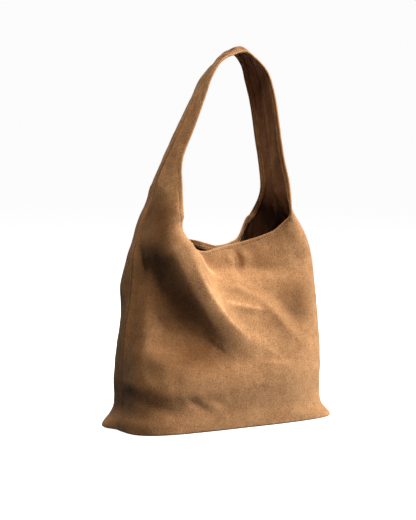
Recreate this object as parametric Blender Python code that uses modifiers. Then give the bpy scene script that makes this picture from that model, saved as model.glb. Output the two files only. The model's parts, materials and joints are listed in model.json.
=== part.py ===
"""Slouchy suede hobo bag: two panels run up into one wide shoulder strap.

Metres, +Z up. The origin is the middle of the base, on the surface that the bag
stands on. +X runs along the bag's length, and -Y is the front.
"""
import bisect
import math

import bmesh
import bpy
import numpy as np

# ---------------------------------------------------------------- driving sizes
BASE_HALF_LENGTH = 0.180
BASE_HALF_DEPTH = 0.0825
BASE_SQUARENESS = 4.0
CROWN = (0.041, 0.590)
STRAP_HALF_WIDTH = 0.029
RIM_LOW_HEIGHT = 0.275

GAP = 0.0003
HALF_SEAM_GAP = 0.0004
SUEDE = 0.0014
FACING = 0.0010
LINING = 0.0005
TAPE = 0.0004
BOARD = 0.0024
BOARD_MARGIN = 0.009
LINING_MARGIN = 0.008
OUTLINE_POINTS = 56
TAPE_SHARE = 0.7
INNER_INSET = SUEDE + GAP
FACING_INSET = INNER_INSET + LINING + GAP
WALL_FOOT = SUEDE + 4 * GAP

# The strap folds about an axis along X at this height, where the horns are narrowest.
FOLD_HEIGHT = 0.420
FOLD_RADIUS = 0.0335
FOLD_SLOPE = math.radians(20)

# The front of the mouth swings out about an axis along X.
MOUTH_HINGE_HEIGHT = 0.190
MOUTH_LEFT = -0.085
MOUTH_RIGHT = 0.095
MOUTH_TOP = 0.340

STRAP_LEAN = math.radians(11)
HORN_BLEND = (0.290, 0.365)
HORN_REACH = (0.040, 0.080)

SNAP = (0.018, 0.252)
SNAP_RADIUS = 0.009
SNAP_THICKNESS = 0.0030
WASHER_RADIUS = 0.0075
WASHER_THICKNESS = 0.0004

# Side seam of each end, from the base corner to the crown, as (x, z).
LEFT_SEAM = [
    (-0.178, 0.000), (-0.176, 0.014), (-0.168, 0.034), (-0.170, 0.080), (-0.165, 0.150),
    (-0.156, 0.200), (-0.150, 0.268), (-0.141, 0.310), (-0.122, 0.350), (-0.099, 0.400),
    (-0.072, 0.452), (-0.036, 0.520), (-0.012, 0.557), (0.012, 0.580), CROWN,
]
RIGHT_SEAM = [
    (0.178, 0.000), (0.176, 0.014), (0.170, 0.034), (0.173, 0.100), (0.168, 0.200),
    (0.158, 0.262), (0.144, 0.298), (0.127, 0.326), (0.111, 0.355), (0.103, 0.395),
    (0.094, 0.460), (0.086, 0.507), (0.074, 0.547), (0.062, 0.570), CROWN,
]
# Half depth and squareness of the horizontal sections, as (height, value).
DEPTH = [(0.0, 0.0825), (0.03, 0.0790), (0.10, 0.0750), (0.20, 0.0660), (0.27, 0.0560),
         (0.33, 0.0510), (0.36, 0.0460), (0.60, 0.0450)]
SQUARENESS = [(0.0, BASE_SQUARENESS), (0.05, 3.4), (0.20, 2.9), (0.28, 3.0), (0.36, 4.0), (0.60, 4.0)]
# How far the closed snap draws the front and back walls together, as (height, share), and the
# x where that starts and is complete on the left, and where it is complete and ends on the right.
PINCH = [(0.10, 0.0), (0.16, 0.13), (0.19, 0.28), (0.21, 0.43), (0.225, 0.60), (0.243, 0.865), (0.60, 0.865)]
PINCH_LEFT = {-1: (-0.085, -0.038), 1: (-0.075, -0.020)}
PINCH_RIGHT = (0.034, 0.084)
# Below the rim the left start moves right, by this much for each metre down.
PINCH_SLANT = 0.5
# The rim from the strap down into the mouth, as (height, distance from the side seam).
RIM = [(0.450, STRAP_HALF_WIDTH), (0.420, 0.030), (0.395, 0.032), (0.365, 0.039), (0.340, 0.049),
       (0.320, 0.061), (0.302, 0.082), (0.290, 0.112), (0.280, 0.150)]
FAN_HEIGHT = 0.335

PATH_STEPS = 12
# The grid of each wall: lines from the rim outwards, and the places along each line.
HORN_LINES = 3
SIDE_LINES = 8
BASE_LINES = 10
WALL_ROWS = [0, 0.035, 0.075, 0.12, 0.165, 0.28, 0.46, 0.72, 1]
FACING_ROWS = 4
STRAP_LINES = 12
STRAP_ROWS = [1, 0.5, 0]


# ---------------------------------------------------------------- curves in the plane
def smooth(low, high, at):
    """0 below low, 1 above high, and a smooth step between."""
    t = min(1.0, max(0.0, (at - low) / (high - low)))
    return t * t * (3 - 2 * t)


def keyed(keys, at):
    """The value at one place of a list of (place, value), with straight lines between."""
    places = [place for place, _ in keys]
    if at <= places[0]:
        return keys[0][1]
    if at >= places[-1]:
        return keys[-1][1]
    i = bisect.bisect_right(places, at) - 1
    share = (at - places[i]) / (places[i + 1] - places[i])
    return keys[i][1] + (keys[i + 1][1] - keys[i][1]) * share


def spline(points, steps):
    """A smooth curve through the points, with that many steps between each two."""
    ends = [2 * points[0] - points[1], *points, 2 * points[-1] - points[-2]]
    curve = []
    for a, b, c, d in zip(ends, ends[1:], ends[2:], ends[3:]):
        for t in np.arange(steps) / steps:
            curve.append(0.5 * (2 * b + (c - a) * t + (2 * a - 5 * b + 4 * c - d) * t ** 2
                                + (3 * b - a - 3 * c + d) * t ** 3))
    curve.append(points[-1])
    return np.array(curve)


class Path:
    """A smooth curve that is read by the distance along it."""

    def __init__(self, points):
        self.curve = spline([np.array(p) for p in points], PATH_STEPS)
        steps = np.linalg.norm(np.diff(self.curve, axis=0), axis=1)
        self.along = np.concatenate([[0], np.cumsum(steps)])
        self.length = self.along[-1]

    def at(self, distance):
        return np.array([np.interp(distance, self.along, axis) for axis in self.curve.T])

    def direction(self, distance):
        step = self.at(min(distance + 0.003, self.length)) - self.at(max(distance - 0.003, 0))
        return step / np.linalg.norm(step)


class Seam(Path):
    """A side seam from the base corner to the crown, where it runs smoothly on to a point beyond."""

    def __init__(self, points, beyond):
        super().__init__(points + [beyond])
        last = (len(points) - 1) * PATH_STEPS
        self.curve = self.curve[:last + 1]
        self.along = self.along[:last + 1]
        self.length = self.along[-1]

    def distance_at(self, height):
        return float(np.interp(height, self.curve[:, 1], self.along))

    def x_at(self, height):
        return float(np.interp(height, self.curve[:, 1], self.curve[:, 0]))


SEAM = {-1: Seam(LEFT_SEAM, RIGHT_SEAM[-2]), 1: Seam(RIGHT_SEAM, LEFT_SEAM[-2])}


# ---------------------------------------------------------------- the bag's surface
def quarter_section(side, height):
    """The section from the side seam to the middle: the distance along it, x and y."""
    angle = np.linspace(0, math.pi / 2, 120)
    power = 2 / keyed(SQUARENESS, height)
    x = abs(SEAM[side].x_at(height)) * np.cos(angle) ** power
    y = keyed(DEPTH, height) * np.sin(angle) ** power
    x[-1] = 0
    along = np.concatenate([[0], np.cumsum(np.hypot(np.diff(x), np.diff(y)))])
    return along, x, y


def strap_half_width(height):
    return keyed(sorted(RIM), height)


def strap_point(face, side, along_seam, distance):
    """A point at a distance from the strap's middle seam. The strap leans, front edge outwards."""
    x, z = SEAM[side].at(along_seam)
    dx, dz = SEAM[side].direction(along_seam)
    outward = np.array([side * dz, 0, -side * dx])
    lean = STRAP_LEAN * (1 - smooth(0.52, 0.59, z))
    across = np.array([0, face * math.cos(lean), 0]) - face * math.sin(lean) * outward
    return np.array([x, 0, z]) + distance * across


def pinch(face, x, height):
    """How far a wall is drawn in towards the snap, as a share of its depth."""
    shift = PINCH_SLANT * max(0, RIM_LOW_HEIGHT - height)
    start, complete = PINCH_LEFT[face]
    from_left = smooth(start + shift, complete + shift, x)
    return keyed(PINCH, height) * from_left * (1 - smooth(*PINCH_RIGHT, x))


def wall_point(face, side, height, share):
    """A point of the outer surface: share runs from 0 at the side seam to 1 at the middle."""
    along, xs, ys = quarter_section(side, height)
    distance = share * along[-1]
    x = side * np.interp(distance, along, xs)
    y = np.interp(distance, along, ys) * (1 - pinch(face, x, height))
    low = np.array([x, face * y, height])
    high = strap_point(face, side, SEAM[side].distance_at(height), distance)
    weight = smooth(*HORN_BLEND, height) * (1 - smooth(*HORN_REACH, distance))
    return low * (1 - weight) + high * weight


def half_wall(face, side):
    """Lines from the rim to the side seam and the base, each a list of points.

    The lines are level in the horn. Lower down they fan out over the side and the base.
    """
    rim = [(height, distance / quarter_section(side, height)[0][-1]) for height, distance in RIM]
    rim = Path(rim + [(RIM_LOW_HEIGHT, 1.0)])
    turn = float(np.interp(-FAN_HEIGHT, -rim.curve[:, 0], rim.along))
    starts = [rim.at(s) for s in np.linspace(0, turn, HORN_LINES + 1)]
    ends = [(height, 0.0) for height, _ in starts]
    starts += [rim.at(s) for s in np.linspace(turn, rim.length, SIDE_LINES + BASE_LINES + 1)[1:]]
    ends += [(height, 0.0) for height in np.linspace(FAN_HEIGHT, WALL_FOOT, SIDE_LINES + 1)[1:]]
    ends += [(WALL_FOOT, share) for share in np.linspace(0, 1, BASE_LINES + 1)[1:]]
    return [
        [wall_point(face, side, *(start + (np.array(end) - start) * t)) for t in WALL_ROWS]
        for start, end in zip(starts, ends)
    ]


def spots(lines, face, level):
    """Each point of the lines with the surface's outward direction there.

    The back's lines are turned round, so that the outside is on the same hand. Points on
    a level seam get their half of the gap to the other half.
    """
    points = np.array(lines if face < 0 else lines[::-1])
    outward = np.cross(np.gradient(points, axis=1), np.gradient(points, axis=0))
    on_seam = (np.abs(points[..., 1]) < GAP) & level
    outward[on_seam, 1] = 0
    points[on_seam, 1] = face * HALF_SEAM_GAP
    outward /= np.linalg.norm(outward, axis=2, keepdims=True)
    return [list(zip(line, directions)) for line, directions in zip(points, outward)]


def wall(face):
    """The lines of a whole panel, from the left horn to the right one."""
    return spots(half_wall(face, -1) + half_wall(face, 1)[-2::-1], face, True)


def strap_strip(face, near_edge, far_edge):
    """Lines across the strap from the right horn over the crown to the left horn.

    The edges are shares of the strap's half width, and below 0 on its back half.
    """
    lines = []
    for side in (1, -1):
        start = SEAM[side].distance_at(FOLD_HEIGHT - FOLD_RADIUS)
        half = []
        for along in np.linspace(start, SEAM[side].length, STRAP_LINES + 1):
            width = strap_half_width(SEAM[side].at(along)[1])
            shares = [far_edge + (near_edge - far_edge) * row for row in STRAP_ROWS]
            half.append([strap_point(face, side, along, width * share) for share in shares])
        lines += half if side > 0 else half[-2::-1]
    return spots(lines, face, near_edge == 0)


# ---------------------------------------------------------------- making the pieces
def make_material(name, colour, roughness, metallic=0.0):
    material = bpy.data.materials.new(name)
    material.use_nodes = True
    shader = material.node_tree.nodes["Principled BSDF"]
    shader.inputs["Base Color"].default_value = (*colour, 1)
    shader.inputs["Roughness"].default_value = roughness
    shader.inputs["Metallic"].default_value = metallic
    return material


def add_shell(name, lines, inset, thickness):
    """A sheet of leather or cloth: the surface through the lines, set in and made thick.

    It is made of triangles, so that the layers of a wall are split along the same diagonals.
    """
    mesh = bmesh.new()
    grid = []
    for line in lines:
        grid.append([spot and mesh.verts.new(spot[0] - spot[1] * inset) for spot in line])
    for near, far in zip(grid, grid[1:]):
        for i in range(len(near) - 1):
            if near[i + 1] and far[i + 1]:
                mesh.faces.new((near[i], near[i + 1], far[i + 1]))
                mesh.faces.new((near[i], far[i + 1], far[i]))
    data = bpy.data.meshes.new(name)
    mesh.to_mesh(data)
    mesh.free()
    item = add_object(name, data)
    solidify = item.modifiers.new("thickness", "SOLIDIFY")
    solidify.thickness = thickness
    solidify.offset = -1
    return item


def add_plate(name, half_length, half_depth, bottom, thickness):
    """A flat sheet with the base's outline."""
    curve = bpy.data.curves.new(name, "CURVE")
    curve.dimensions = "2D"
    curve.fill_mode = "BOTH"
    curve.extrude = thickness / 2
    outline = curve.splines.new("POLY")
    outline.points.add(OUTLINE_POINTS - 1)
    outline.use_cyclic_u = True
    for i, point in enumerate(outline.points):
        angle = 2 * math.pi * i / OUTLINE_POINTS
        c, s = math.cos(angle), math.sin(angle)
        x = half_length * math.copysign(abs(c) ** (2 / BASE_SQUARENESS), c)
        y = half_depth * math.copysign(abs(s) ** (2 / BASE_SQUARENESS), s)
        point.co = (x, y, 0, 1)
    item = add_object(name, curve)
    item.location.z = bottom + thickness / 2
    return item


def add_disc(name, radius, thickness, centre):
    bpy.ops.mesh.primitive_cylinder_add(vertices=24, radius=radius, depth=thickness)
    item = bpy.context.object
    item.name = name
    item.rotation_euler.x = math.pi / 2
    item.location = centre
    adopt(item)
    return item


def add_object(name, data):
    item = bpy.data.objects.new(name, data)
    adopt(item)
    return item


def adopt(item):
    """Puts a piece in the bag's collection, with its own material."""
    for collection in list(item.users_collection):
        collection.objects.unlink(item)
    PARTS.objects.link(item)
    colour, roughness, metallic = FINISHES[item.name]
    item.data.materials.append(make_material(item.name, colour, roughness, metallic))


def add_cutter(name, outline, low, high):
    """A prism along X with its outline as (y, z) points, from x low to x high."""
    mesh = bmesh.new()
    face = mesh.faces.new([mesh.verts.new((low, y, z)) for y, z in outline])
    sweep = bmesh.ops.extrude_face_region(mesh, geom=[face])
    moved = [v for v in sweep["geom"] if isinstance(v, bmesh.types.BMVert)]
    bmesh.ops.translate(mesh, verts=moved, vec=(high - low, 0, 0))
    bmesh.ops.recalc_face_normals(mesh, faces=mesh.faces)
    data = bpy.data.meshes.new(name)
    mesh.to_mesh(data)
    mesh.free()
    cutter = bpy.data.objects.new(name, data)
    CUTTERS.objects.link(cutter)
    cutter.hide_render = True
    cutter.display_type = "WIRE"
    return cutter


def cut(item, cutter, operation="DIFFERENCE"):
    boolean = item.modifiers.new(cutter.name, "BOOLEAN")
    boolean.operation = operation
    boolean.object = cutter


# ---------------------------------------------------------------- materials and collections
SUEDE_FINISH = ((0.40, 0.22, 0.11), 0.95, 0.0)
FACING_FINISH = ((0.36, 0.20, 0.10), 0.92, 0.0)
LINING_FINISH = ((0.09, 0.055, 0.035), 0.85, 0.0)
TAPE_FINISH = ((0.75, 0.72, 0.66), 0.80, 0.0)
BOARD_FINISH = ((0.35, 0.30, 0.24), 0.75, 0.0)
METAL_FINISH = ((0.62, 0.52, 0.34), 0.30, 1.0)
FINISHES = {
    "front_panel": SUEDE_FINISH,
    "back_panel": SUEDE_FINISH,
    "base_panel": SUEDE_FINISH,
    "front_mouth_panel": SUEDE_FINISH,
    "strap_front": SUEDE_FINISH,
    "strap_back": SUEDE_FINISH,
    "strap_facing_front": FACING_FINISH,
    "strap_facing_back": FACING_FINISH,
    "front_facing_left": FACING_FINISH,
    "front_facing_right": FACING_FINISH,
    "front_mouth_facing": FACING_FINISH,
    "back_facing": FACING_FINISH,
    "front_lining": LINING_FINISH,
    "front_mouth_lining": LINING_FINISH,
    "back_lining": LINING_FINISH,
    "base_lining": LINING_FINISH,
    "base_board": BOARD_FINISH,
    "front_rim_tape": TAPE_FINISH,
    "back_rim_tape": TAPE_FINISH,
    "strap_tape": TAPE_FINISH,
    "snap_socket": METAL_FINISH,
    "snap_socket_washer": METAL_FINISH,
    "snap_stud": METAL_FINISH,
    "snap_stud_washer": METAL_FINISH,
}

for old in list(bpy.data.objects):
    bpy.data.objects.remove(old)
PARTS = bpy.data.collections.new("hobo_bag")
CUTTERS = bpy.data.collections.new("cutters")
bpy.context.scene.collection.children.link(PARTS)
bpy.context.scene.collection.children.link(CUTTERS)


# ---------------------------------------------------------------- cutters
REACH = 0.30


def fold_roof():
    """Everything above the horns: a roof whose slopes the folding strap clears."""
    ridge = FOLD_HEIGHT - FOLD_RADIUS / math.cos(FOLD_SLOPE) - GAP
    eaves = ridge - REACH * math.tan(FOLD_SLOPE)
    outline = [(-REACH, eaves), (0, ridge), (REACH, eaves), (REACH, 1), (-REACH, 1)]
    return add_cutter("above_the_fold", outline, -REACH, REACH)


def fold_tongue():
    """Everything below the strap's round ends."""
    arc = [math.pi * i / 24 for i in range(25)]
    outline = [(FOLD_RADIUS * math.cos(a), FOLD_HEIGHT - FOLD_RADIUS * math.sin(a)) for a in arc]
    outline += [(-REACH, FOLD_HEIGHT), (-REACH, FOLD_HEIGHT - REACH)]
    outline += [(REACH, FOLD_HEIGHT - REACH), (REACH, FOLD_HEIGHT)]
    return add_cutter("below_the_strap", outline, -REACH, REACH)


def mouth_block(name, grow):
    """The space of the front of the mouth, made larger or smaller by half a gap."""
    bottom = MOUTH_HINGE_HEIGHT - grow
    outline = [(-REACH, bottom), (0, bottom), (0, MOUTH_TOP), (-REACH, MOUTH_TOP)]
    return add_cutter(name, outline, MOUTH_LEFT - grow, MOUTH_RIGHT + grow)


ABOVE_FOLD = fold_roof()
BELOW_STRAP = fold_tongue()
MOUTH_HOLE = mouth_block("mouth_hole", GAP / 2)
MOUTH_PIECE = mouth_block("mouth_piece", -GAP / 2)
LEFT_OF_MOUTH = add_cutter("left_of_mouth", [(-REACH, 0), (REACH, 0), (REACH, 1), (-REACH, 1)],
                           -REACH, MOUTH_LEFT - GAP / 2)
RIGHT_OF_MOUTH = add_cutter("right_of_mouth", [(-REACH, 0), (REACH, 0), (REACH, 1), (-REACH, 1)],
                            MOUTH_RIGHT + GAP / 2, REACH)


# ---------------------------------------------------------------- the bag's pieces
def rows_of(lines, first, last):
    """The same lines with only some of their rows."""
    return [line[first:last + 1] for line in lines]


def facing_lines(lines):
    """The facing: the horns over their whole width, and a band along the mouth."""
    count = len(lines)
    kept = []
    for i, line in enumerate(lines):
        in_horn = min(i, count - 1 - i) <= HORN_LINES
        kept.append([p if in_horn or row <= FACING_ROWS else None for row, p in enumerate(line)])
    return kept


def make_base():
    add_plate("base_panel", BASE_HALF_LENGTH, BASE_HALF_DEPTH, 0, SUEDE)
    board_bottom = SUEDE + GAP
    add_plate("base_board", BASE_HALF_LENGTH - BOARD_MARGIN, BASE_HALF_DEPTH - BOARD_MARGIN,
              board_bottom, BOARD)
    add_plate("base_lining", BASE_HALF_LENGTH - LINING_MARGIN, BASE_HALF_DEPTH - LINING_MARGIN,
              board_bottom + BOARD + GAP, LINING)


def make_back():
    lines = wall(1)
    inner = lines[HORN_LINES:len(lines) - HORN_LINES]
    last = len(WALL_ROWS) - 1
    cut(add_shell("back_panel", lines, 0, SUEDE), ABOVE_FOLD)
    cut(add_shell("back_facing", facing_lines(lines), FACING_INSET, FACING), ABOVE_FOLD)
    add_shell("back_lining", rows_of(inner, FACING_ROWS - 1, last), INNER_INSET, LINING)
    add_shell("back_rim_tape", rows_of(inner, 0, 1), INNER_INSET, TAPE)


def make_front():
    lines = wall(-1)
    inner = lines[HORN_LINES:len(lines) - HORN_LINES]
    last = len(WALL_ROWS) - 1
    lining = rows_of(inner, FACING_ROWS - 1, last)
    panel = add_shell("front_panel", lines, 0, SUEDE)
    cut(panel, ABOVE_FOLD)
    cut(panel, MOUTH_HOLE)
    cut(add_shell("front_mouth_panel", lines, 0, SUEDE), MOUTH_PIECE, "INTERSECT")
    for name, side in (("front_facing_left", LEFT_OF_MOUTH), ("front_facing_right", RIGHT_OF_MOUTH)):
        facing = add_shell(name, facing_lines(lines), FACING_INSET, FACING)
        cut(facing, side, "INTERSECT")
        cut(facing, ABOVE_FOLD)
    cut(add_shell("front_mouth_facing", rows_of(inner, 0, FACING_ROWS), FACING_INSET, FACING),
        MOUTH_PIECE, "INTERSECT")
    cut(add_shell("front_lining", lining, INNER_INSET, LINING), MOUTH_HOLE)
    cut(add_shell("front_mouth_lining", lining, INNER_INSET, LINING), MOUTH_PIECE, "INTERSECT")
    cut(add_shell("front_rim_tape", rows_of(inner, 0, 1), INNER_INSET, TAPE),
        MOUTH_PIECE, "INTERSECT")


def make_strap():
    """The strap's two outer halves, its two facing halves and the tape between them."""
    for face, half in ((-1, "front"), (1, "back")):
        strip = strap_strip(face, 0, 1)
        cut(add_shell(f"strap_{half}", strip, 0, SUEDE), BELOW_STRAP)
        inset = INNER_INSET + TAPE + GAP
        cut(add_shell(f"strap_facing_{half}", strip, inset, FACING), BELOW_STRAP)
    tape = strap_strip(-1, -TAPE_SHARE, TAPE_SHARE)
    cut(add_shell("strap_tape", tape, INNER_INSET, TAPE), BELOW_STRAP)


def make_snap():
    """The magnetic snap: a flat half on each facing, and its washer behind the facing."""
    x, z = SNAP
    outer = keyed(DEPTH, z) * (1 - keyed(PINCH, z))
    facing_inside = outer - FACING_INSET - FACING
    snap_y = facing_inside - GAP - SNAP_THICKNESS / 2
    washer_y = outer - (SUEDE + FACING_INSET) / 2
    for face, half in ((-1, "stud"), (1, "socket")):
        add_disc(f"snap_{half}", SNAP_RADIUS, SNAP_THICKNESS, (x, face * snap_y, z))
        add_disc(f"snap_{half}_washer", WASHER_RADIUS, WASHER_THICKNESS, (x, face * washer_y, z))


make_base()
make_back()
make_front()
make_strap()
make_snap()
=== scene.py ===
"""Looks of the slouchy suede hobo bag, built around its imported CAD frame.

Metres, +Z up, -Y is the front. Only the lists that metres() takes and the tables of folds and of
brushed nap are in millimetres. The leather is a lofted shell: lines run from the free edge (the rim
of the mouth, and the strap's edge) to the side seam, the base or the strap's middle seam. One loop
of lines goes round the mouth of each face, so horns and strap are one skin. Tables are keyed by
face (-1 is the front, 1 the back) and side (-1 is the left, 1 the right).
"""
import json
import math

import bpy
import numpy as np
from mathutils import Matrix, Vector, noise


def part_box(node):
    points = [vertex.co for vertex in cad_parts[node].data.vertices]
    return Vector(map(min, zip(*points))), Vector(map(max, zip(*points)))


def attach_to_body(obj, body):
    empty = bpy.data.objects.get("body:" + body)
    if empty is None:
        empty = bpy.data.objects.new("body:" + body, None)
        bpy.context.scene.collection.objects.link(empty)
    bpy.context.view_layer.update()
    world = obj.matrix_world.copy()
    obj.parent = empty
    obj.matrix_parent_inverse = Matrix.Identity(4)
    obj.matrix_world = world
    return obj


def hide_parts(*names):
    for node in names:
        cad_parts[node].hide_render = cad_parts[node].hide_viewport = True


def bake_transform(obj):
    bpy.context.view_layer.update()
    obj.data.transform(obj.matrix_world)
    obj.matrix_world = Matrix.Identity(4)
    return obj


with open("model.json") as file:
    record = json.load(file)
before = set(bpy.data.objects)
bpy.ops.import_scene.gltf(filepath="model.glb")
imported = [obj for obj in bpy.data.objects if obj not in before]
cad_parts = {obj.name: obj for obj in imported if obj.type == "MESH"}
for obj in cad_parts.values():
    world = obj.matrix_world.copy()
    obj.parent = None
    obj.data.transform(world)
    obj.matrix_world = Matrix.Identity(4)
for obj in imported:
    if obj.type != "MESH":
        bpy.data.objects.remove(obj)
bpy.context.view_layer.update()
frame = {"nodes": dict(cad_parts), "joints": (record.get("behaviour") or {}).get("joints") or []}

# ----- sizes read from the frame
BASE_HALF_SIZE = np.array(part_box("base_panel")[1].xy)
JOINTS = {joint["name"]: joint for joint in frame["joints"]}
FOLD_HEIGHT = JOINTS["strap_fold"]["pos_m"][2]
HINGE_HEIGHT = JOINTS["mouth_open"]["pos_m"][2]
SNAP_X = sum(corner.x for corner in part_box("snap_stud")) / 2
SNAP_HEIGHT = sum(corner.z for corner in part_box("snap_stud")) / 2

# ----- main sizes
MM = 0.001
RIM_LOW_HEIGHT = 0.275
STRAP_EDGE = 29
STRAP_HALF_WIDTH = STRAP_EDGE * MM
CROWN = (41, 590)

# ----- thicknesses of the layers
LEATHER = 0.0014
FACING_DEPTHS = (0.0017, 0.0026)
HEM_DEPTHS = (0.0028, 0.0038)
HEM_WIDTH = 0.010
LINING_DEPTHS = (0.0031, 0.0036)
FOOT_HEIGHT = 0.0012
TAPE_DEPTHS = (0.00145, 0.00165)


def metres(*points):
    """Pairs of lengths, from millimetres to metres."""
    return [(first * MM, second * MM) for first, second in points]


# ----- outlines
# Side seams from the base corner to the crown, as (x, z).
LEFT_SEAM = metres((-178, 0), (-176, 14), (-168, 34), (-170, 80), (-165, 150), (-156, 200), (-150, 268),
                   (-141, 310), (-122, 350), (-99, 400), (-72, 452), (-36, 520), (-12, 557), (12, 580),
                   CROWN)
RIGHT_SEAM = metres((178, 0), (176, 14), (170, 34), (173, 100), (168, 200), (158, 262), (144, 298),
                    (127, 326), (111, 355), (103, 395), (94, 460), (86, 507), (74, 547), (62, 570),
                    CROWN)
# Half depth and squareness of the level sections, as (height, value).
DEPTH = metres((0, 82.5), (30, 79), (100, 75), (200, 66), (270, 56), (330, 51), (360, 46), (600, 45))
SQUARENESS = [(0.0, 4.0), (0.05, 3.4), (0.20, 2.9), (0.28, 3.0), (0.36, 4.0), (0.60, 4.0)]
# The closed snap draws the walls together: (height, share of the depth). Along X each face is drawn
# in fully between the inner ones of these places, and not at all beyond the outer ones.
PINCH = [(0.10, 0.0), (0.16, 0.13), (0.19, 0.28), (0.21, 0.43), (0.225, 0.60), (0.243, 0.865),
         (0.60, 0.865)]
PINCH_LEFT = {-1: (-0.085, -0.038), 1: (-0.075, -0.020)}
PINCH_RIGHT = {-1: (0.028, 0.135), 1: (0.034, 0.084)}
PINCH_SLANT = 0.5
# The free edge from the strap down into the mouth, as (height, distance from the seam).
RIM = metres((450, STRAP_EDGE), (420, 30), (395, 32), (365, 39), (340, 49), (320, 61),
             (302, 82), (290, 112), (280, 150))
# The left horn's front edge is wider, and below the strap it curls inwards beyond a crest.
FRONT_LEFT_RIM = metres((450, STRAP_EDGE), (426, 30), (406, 36), (390, 44), (370, 54),
                        (350, 64), (330, 77), (314, 87), (300, 96), (288, 106), (279, 119), (274, 136),
                        (273, 156))
CREST = metres((280, 106), (290, 90), (300, 80), (314, 73), (330, 65), (350, 52), (370, 48))
CURL = math.radians(62)
CURL_TOP = (0.306, 0.348)
CURL_FOOT = (0.276, 0.294)
CURL_SOFTNESS = 0.012
# The right horn's back edge is wider.
BACK_RIGHT_RIM = metres((450, STRAP_EDGE), (415, 27.5), (380, 26.5), (366, 29.5), (354, 39),
                        (341, 57), (323.5, 73), (311, 88), (298, 112), (280, 156))
RIMS = {(-1, -1): FRONT_LEFT_RIM, (-1, 1): RIM, (1, -1): RIM, (1, 1): BACK_RIGHT_RIM}
# How far the left horn's seam is shifted along X and Y, as (height, shift).
SEAM_SHIFT_X = metres((262, 0), (288, 5), (310, 9), (345, 10), (385, 4), (430, 0))
SEAM_SHIFT_Y = metres((250, 0), (300, 6), (340, 10), (380, 9), (430, 0))
SEAM_SHIFT_REACH = 0.06
# Below this height the lines fan out from the rim to the side seam.
FAN_HEIGHT = 0.335
# Between these heights the wall turns into the strap, within this reach from the side seam.
HORN_BLEND = (0.290, 0.358)
HORN_REACH = metres((300, 40), (350, 62), (362, 70))
HORN_REACH_WIDTH = 0.040

# The base's corners flare out as flat ears: by how much, below which height, and beyond which x.
EAR = {-1: 0.009, 1: 0.010}
EAR_HEIGHTS = (0.002, 0.018)
EAR_REACH = (0.10, 0.165)
# The leather turns under at the foot.
FOOT_RADIUS = 0.0025
# Fullness of the sides: (face, side, height, half height, distance from the seam, half width, push).
BULGES = [
    (-1, 1, 0.272, 0.045, 0.030, 0.030, 0.0060), (-1, 1, 0.165, 0.080, 0.030, 0.035, 0.0035),
    (1, -1, 0.268, 0.026, 0.035, 0.030, 0.003), (1, -1, 0.218, 0.032, 0.040, 0.030, 0.0105),
    (1, -1, 0.131, 0.026, 0.040, 0.030, 0.001),
]
BULGE_START = 0.02
BULGE_DIRECTION = (0.75, 0.65)
# Left of the snap the mouth gapes: how far each face is raised, and shifted along Y.
GAPE = {-1: (-0.004, -0.003), 1: (0.004, 0.008)}
GAPE_X = (-0.030, 0.022)
GAPE_HEIGHTS = (0.240, 0.275, 0.290, 0.320)
# The strap's two edges slide past each other over the crown.
SKEW = metres((545, 0), (572, 5), (600, 5))

# How the strap's section leans (front edge outwards) in degrees, and how far its edges cup
# inwards, along each limb as (height, value).
LEAN = {
    -1: [(0.36, -1), (0.421, -2), (0.45, 0), (0.485, 4), (0.514, 9), (0.534, 11), (0.555, 12),
         (0.571, 8), (0.590, 0)],
    1: [(0.34, 3), (0.366, 9), (0.383, 13), (0.40, 13), (0.42, 11.5), (0.54, 11.5), (0.555, 9),
        (0.571, 5), (0.590, 0)],
}
CUP = {
    (-1, -1): metres((360, 8.5), (400, 7.5), (420, 6.5), (450, 7), (520, 3.5), (535, 0), (560, 1),
                     (590, 7)),
    (1, -1): metres((360, 9), (400, 9), (450, 7), (520, 3.5), (535, 0), (560, 1), (590, 7)),
    (-1, 1): metres((330, 4), (360, 2), (400, 1), (450, 2), (555, 2), (575, 5), (590, 7)),
    (1, 1): metres((350, 6), (380, 3), (400, 1), (450, 2), (555, 2), (575, 5), (590, 7)),
}

# ----- the grid of lines (from the rim outwards) and rows (along the rim)
# The height at which leather, facing, tape and threads are cut in two.
CUT_HEIGHT = 0.362
LINE_STEP = 0.0032
BASE_REACH = 0.235
ROWS = 92
# Distances of the first rows from the rim, and of the last ones from the seam.
NEAR_RIM = [0, 0.0006, 0.0014, 0.0024, 0.0034, 0.0042, 0.005, 0.0058, 0.0068]
NEAR_SEAM = [0, 0.0005, 0.0011, 0.0018, 0.0027, 0.0040, 0.0058]
# The lines are smoothed that many times, above those heights and that far from a seam.
EASE_ROUNDS = 16
EASE_HEIGHTS = (0.03, 0.09)
EASE_FROM_SEAM = 0.020

# ----- topstitching
STITCH_INSET = 0.005
STITCH_PITCH = 0.0042
STITCH_LENGTH = 0.0030
STITCH_RADIUS = 0.00042
THREAD_SIDES = 6
# Rings of one thread, as (place along it from -1 to 1, share of its radius).
THREAD_RINGS = [(-1.0, 0.25), (-0.8, 0.8), (0.0, 1.0), (0.8, 0.8), (1.0, 0.25)]

# ----- relief of the leather, and its wear and painted light and shade: lighter above 0, darker below
# The seam groove and the stitch dents get painted shade, the swell beside the seam a painted highlight.
GROOVE_DEPTH, GROOVE_WIDTH, GROOVE_SHADE = 0.0012, 0.0016, -0.55
SWELL_HEIGHT, SWELL_AT, SWELL_WIDTH, SWELL_HIGHLIGHT = 0.00025, 0.0045, 0.0022, 0.10
DENT_DEPTH, DENT_WIDTH, DENT_SHADE = 0.0006, 0.0009, -0.45
LUMP_HEIGHT, LUMP_SIZE = 0.0018, 0.060
WRINKLE_HEIGHT, WRINKLE_SIZE = 0.00055, 0.017
STREAK_HEIGHT, STREAK_SIZE, STREAK_WEAR = 0.0017, 0.011, 0.34
# The lumps end and the lengthwise streaks begin between these heights.
STREAK_START = (0.36, 0.44)
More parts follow.
